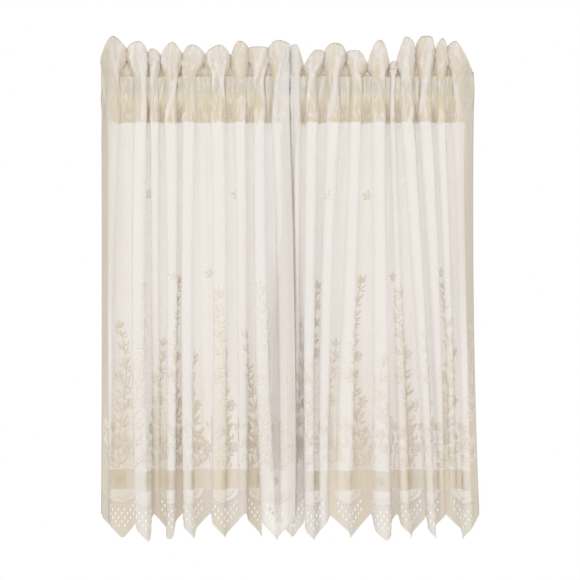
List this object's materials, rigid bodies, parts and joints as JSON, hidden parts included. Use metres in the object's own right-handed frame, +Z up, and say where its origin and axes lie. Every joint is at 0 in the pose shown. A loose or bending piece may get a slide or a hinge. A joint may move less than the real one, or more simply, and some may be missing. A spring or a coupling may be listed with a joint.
{
  "type": "cafe curtain and rod",
  "caption": "A pair of gathered lace cafe curtain panels with a ruffled heading, a rod pocket and a pointed lower edge, on a flat curtain rod.",
  "frame": {"origin": "middle of the rod's axis, where the two panels meet", "axes": "+X to the right along the rod as seen from the room, +Y towards the window, +Z up; the front faces -Y"},
  "size_m": [0.5681, 0.055, 0.7561],
  "materials": {
    "left_panel": "sheer ivory lace net with denser motifs, matt",
    "right_panel": "sheer ivory lace net with denser motifs, matt",
    "rod": "white baked paint, half gloss"
  },
  "bodies": {
    "root": {"left_panel": "left_panel", "right_panel": "right_panel", "rod": "rod"}
  },
  "joints": []
}
